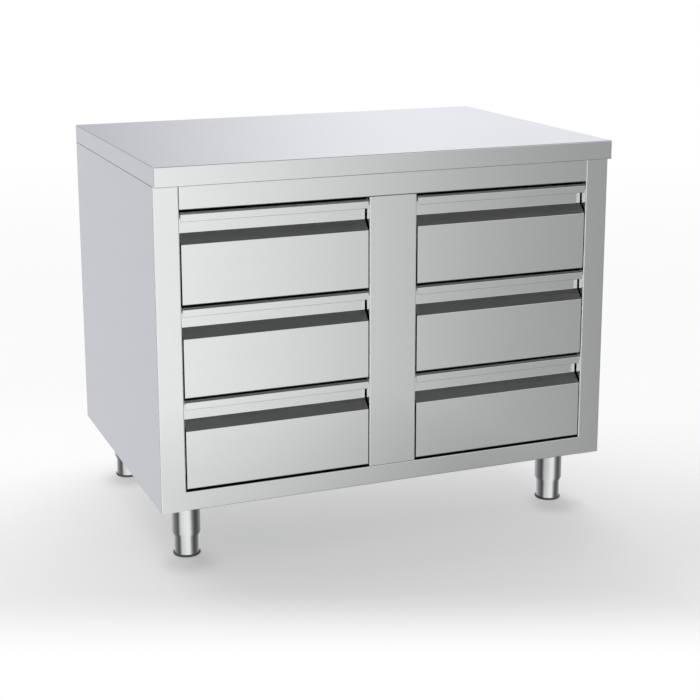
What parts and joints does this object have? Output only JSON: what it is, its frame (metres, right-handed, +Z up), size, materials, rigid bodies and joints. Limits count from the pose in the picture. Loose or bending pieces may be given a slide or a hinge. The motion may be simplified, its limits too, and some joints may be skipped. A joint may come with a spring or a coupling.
{
  "type": "work table with drawers",
  "caption": "Stainless steel work table: folded worktop over a closed cabinet with two columns of pull-out drawers behind finger-pocket fronts, on round adjustable feet.",
  "frame": {"origin": "on the floor, under the middle of the worktop", "axes": "+Z up; -Y towards the user, so the drawers open along -Y; +X to the user's right, along the worktop's length"},
  "size_m": [1, 0.7, 0.827],
  "materials": {
    "outer_sheet": "stainless sheet with a fine satin grain",
    "front_sheet": "stainless sheet with a fine satin grain, folded drawer fronts",
    "inner_sheet": "plain mill-finish stainless sheet inside the cabinet",
    "rail_steel": "zinc-plated rails",
    "leg_steel": "polished stainless tube with fine rings of turning marks",
    "fastener": "zinc-plated screws, bolts and nuts",
    "core_board": "pressed board under the worktop's sheet",
    "glide": "dark grey moulded plastic"
  },
  "bodies": {
    "cabinet": {"worktop": "outer_sheet", "worktop_core": "core_board", "worktop_stiffeners": "inner_sheet", "left_side_panel": "outer_sheet", "right_side_panel": "outer_sheet", "back_panel": "outer_sheet", "bottom_panel": "inner_sheet", "top_rail": "outer_sheet", "bottom_rail": "outer_sheet", "centre_panel": "outer_sheet", "left_divider": "inner_sheet", "right_divider": "inner_sheet", "left_front_upright": "inner_sheet", "left_rear_upright": "inner_sheet", "right_front_upright": "inner_sheet", "right_rear_upright": "inner_sheet", "front_floor_channel": "inner_sheet", "rear_floor_channel": "inner_sheet", "left_cabinet_rails": "rail_steel", "right_cabinet_rails": "rail_steel", "leg_bushes": "fastener", "leg_bolts": "fastener", "worktop_screws": "fastener", "rail_screws": "fastener", "front_left_leg": "leg_steel", "front_right_leg": "leg_steel", "rear_left_leg": "leg_steel", "rear_right_leg": "leg_steel"},
    "upper_left_drawer": {"upper_left_drawer_front": "front_sheet", "upper_left_drawer_box": "inner_sheet", "upper_left_drawer_rails": "rail_steel"},
    "upper_left_intermediate": {"upper_left_intermediate_rails": "rail_steel"},
    "upper_right_drawer": {"upper_right_drawer_front": "front_sheet", "upper_right_drawer_box": "inner_sheet", "upper_right_drawer_rails": "rail_steel"},
    "upper_right_intermediate": {"upper_right_intermediate_rails": "rail_steel"},
    "middle_left_drawer": {"middle_left_drawer_front": "front_sheet", "middle_left_drawer_box": "inner_sheet", "middle_left_drawer_rails": "rail_steel"},
    "middle_left_intermediate": {"middle_left_intermediate_rails": "rail_steel"},
    "middle_right_drawer": {"middle_right_drawer_front": "front_sheet", "middle_right_drawer_box": "inner_sheet", "middle_right_drawer_rails": "rail_steel"},
    "middle_right_intermediate": {"middle_right_intermediate_rails": "rail_steel"},
    "lower_left_drawer": {"lower_left_drawer_front": "front_sheet", "lower_left_drawer_box": "inner_sheet", "lower_left_drawer_rails": "rail_steel"},
    "lower_left_intermediate": {"lower_left_intermediate_rails": "rail_steel"},
    "lower_right_drawer": {"lower_right_drawer_front": "front_sheet", "lower_right_drawer_box": "inner_sheet", "lower_right_drawer_rails": "rail_steel"},
    "lower_right_intermediate": {"lower_right_intermediate_rails": "rail_steel"},
    "front_left_foot": {"front_left_foot": "leg_steel", "front_left_glide": "glide"},
    "front_right_foot": {"front_right_foot": "leg_steel", "front_right_glide": "glide"},
    "rear_left_foot": {"rear_left_foot": "leg_steel", "rear_left_glide": "glide"},
    "rear_right_foot": {"rear_right_foot": "leg_steel", "rear_right_glide": "glide"}
  },
  "joints": [
    {"name": "upper_left_drawer_slide", "type": "slide", "parent": "cabinet", "child": "upper_left_drawer", "axis": [0, -1, 0], "range_m": [0, 0.5]},
    {"name": "upper_left_intermediate_slide", "type": "slide", "parent": "cabinet", "child": "upper_left_intermediate", "axis": [0, -1, 0], "range_m": [0, 0.25]},
    {"name": "upper_right_drawer_slide", "type": "slide", "parent": "cabinet", "child": "upper_right_drawer", "axis": [0, -1, 0], "range_m": [0, 0.5]},
    {"name": "upper_right_intermediate_slide", "type": "slide", "parent": "cabinet", "child": "upper_right_intermediate", "axis": [0, -1, 0], "range_m": [0, 0.25]},
    {"name": "middle_left_drawer_slide", "type": "slide", "parent": "cabinet", "child": "middle_left_drawer", "axis": [0, -1, 0], "range_m": [0, 0.5]},
    {"name": "middle_left_intermediate_slide", "type": "slide", "parent": "cabinet", "child": "middle_left_intermediate", "axis": [0, -1, 0], "range_m": [0, 0.25]},
    {"name": "middle_right_drawer_slide", "type": "slide", "parent": "cabinet", "child": "middle_right_drawer", "axis": [0, -1, 0], "range_m": [0, 0.5]},
    {"name": "middle_right_intermediate_slide", "type": "slide", "parent": "cabinet", "child": "middle_right_intermediate", "axis": [0, -1, 0], "range_m": [0, 0.25]},
    {"name": "lower_left_drawer_slide", "type": "slide", "parent": "cabinet", "child": "lower_left_drawer", "axis": [0, -1, 0], "range_m": [0, 0.5]},
    {"name": "lower_left_intermediate_slide", "type": "slide", "parent": "cabinet", "child": "lower_left_intermediate", "axis": [0, -1, 0], "range_m": [0, 0.25]},
    {"name": "lower_right_drawer_slide", "type": "slide", "parent": "cabinet", "child": "lower_right_drawer", "axis": [0, -1, 0], "range_m": [0, 0.5]},
    {"name": "lower_right_intermediate_slide", "type": "slide", "parent": "cabinet", "child": "lower_right_intermediate", "axis": [0, -1, 0], "range_m": [0, 0.25]},
    {"name": "front_left_foot_slide", "type": "slide", "parent": "cabinet", "child": "front_left_foot", "axis": [0, 0, -1], "range_m": [0, 0.05]},
    {"name": "front_right_foot_slide", "type": "slide", "parent": "cabinet", "child": "front_right_foot", "axis": [0, 0, -1], "range_m": [0, 0.05]},
    {"name": "rear_left_foot_slide", "type": "slide", "parent": "cabinet", "child": "rear_left_foot", "axis": [0, 0, -1], "range_m": [0, 0.05]},
    {"name": "rear_right_foot_slide", "type": "slide", "parent": "cabinet", "child": "rear_right_foot", "axis": [0, 0, -1], "range_m": [0, 0.05]}
  ],
  "couplings": [
    {"joint": "upper_left_intermediate_slide", "follows": "upper_left_drawer_slide", "ratio": 0.5},
    {"joint": "upper_right_intermediate_slide", "follows": "upper_right_drawer_slide", "ratio": 0.5},
    {"joint": "middle_left_intermediate_slide", "follows": "middle_left_drawer_slide", "ratio": 0.5},
    {"joint": "middle_right_intermediate_slide", "follows": "middle_right_drawer_slide", "ratio": 0.5},
    {"joint": "lower_left_intermediate_slide", "follows": "lower_left_drawer_slide", "ratio": 0.5},
    {"joint": "lower_right_intermediate_slide", "follows": "lower_right_drawer_slide", "ratio": 0.5}
  ]
}
